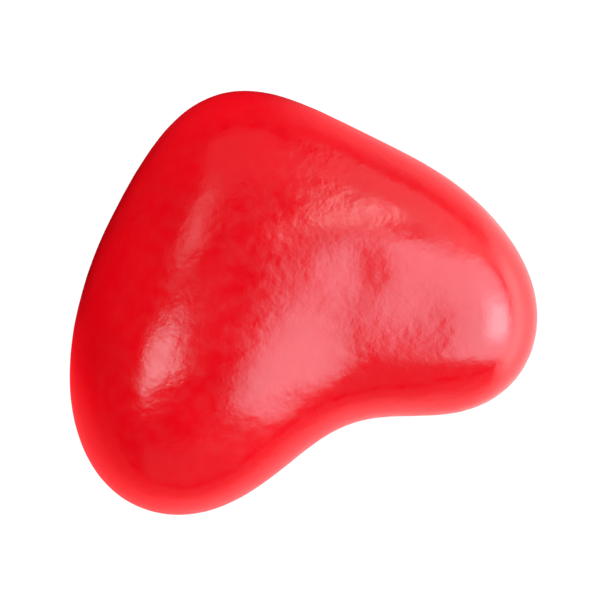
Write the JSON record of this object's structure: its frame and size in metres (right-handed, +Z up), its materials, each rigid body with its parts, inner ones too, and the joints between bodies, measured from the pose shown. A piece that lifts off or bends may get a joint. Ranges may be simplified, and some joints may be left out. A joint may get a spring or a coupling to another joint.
{
  "type": "heart-shaped jelly bean",
  "caption": "Plump heart-shaped jelly bean with a glossy, slightly dimpled red sugar shell, lying on its flatter side.",
  "frame": {"origin": "on the surface the bean rests on, under the middle of its box", "axes": "+X across the lobes towards the broad lobe, tip towards -Y, notch towards +Y, +Z up through the thickness"},
  "size_m": [0.0178, 0.0148, 0.01],
  "materials": {
    "red_sugar_shell": "polished sugar shell, glossy and faintly mottled"
  },
  "bodies": {
    "root": {"jelly_bean": "red_sugar_shell"}
  },
  "joints": []
}
